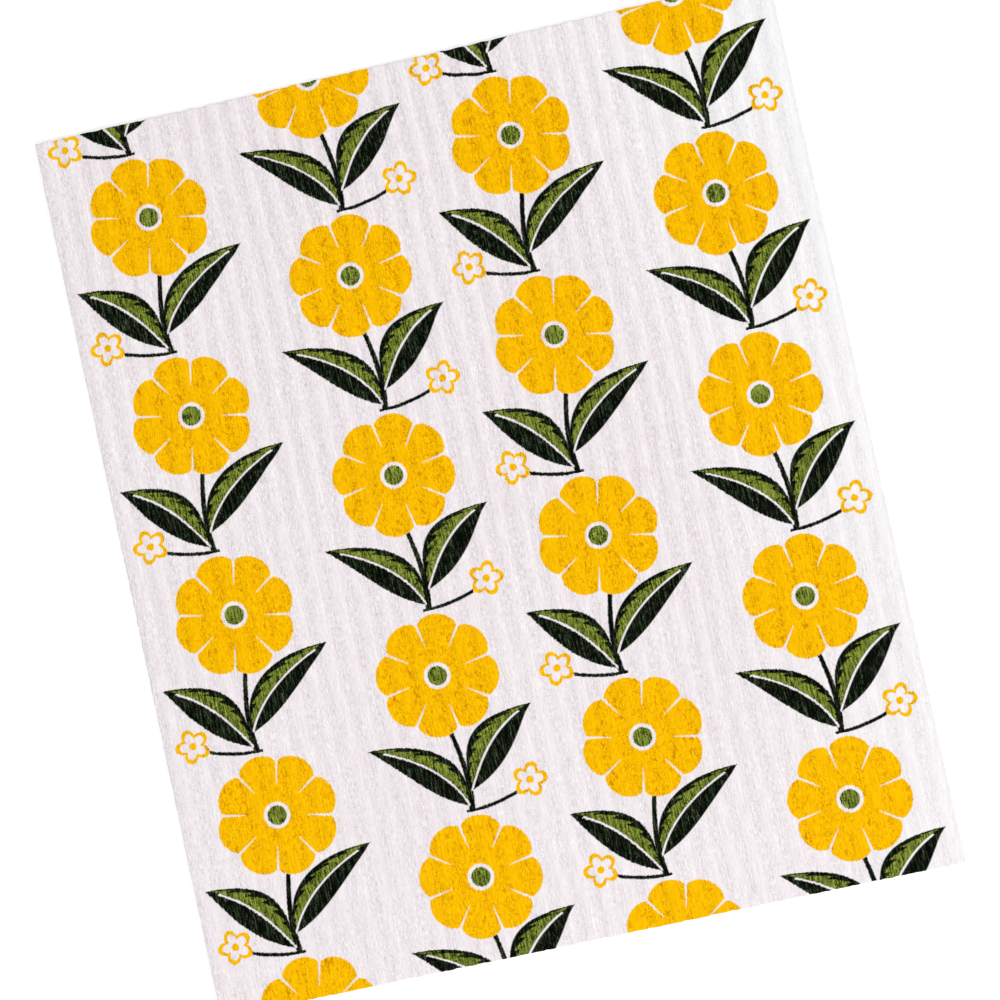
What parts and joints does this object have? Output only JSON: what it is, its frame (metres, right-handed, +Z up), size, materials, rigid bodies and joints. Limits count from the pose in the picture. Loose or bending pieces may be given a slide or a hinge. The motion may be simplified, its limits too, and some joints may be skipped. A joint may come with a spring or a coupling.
{
  "type": "sponge cloth",
  "caption": "Flat rectangular sponge cloth, one sheet with wavy embossed ribs along its length and a flower print on its upper face.",
  "frame": {"origin": "middle of the underside, on the surface that the cloth lies on", "axes": "+X across the ribs along the cloth's width, +Y along the ribs and the cloth's length, +Z up out of the printed face"},
  "size_m": [0.17, 0.202, 0.002],
  "materials": {
    "sponge_fabric": "matt off-white ribbed cellulose and cotton sheet, printed on one side in yellow and two greens"
  },
  "bodies": {
    "root": {"sponge_cloth": "sponge_fabric"}
  },
  "joints": []
}
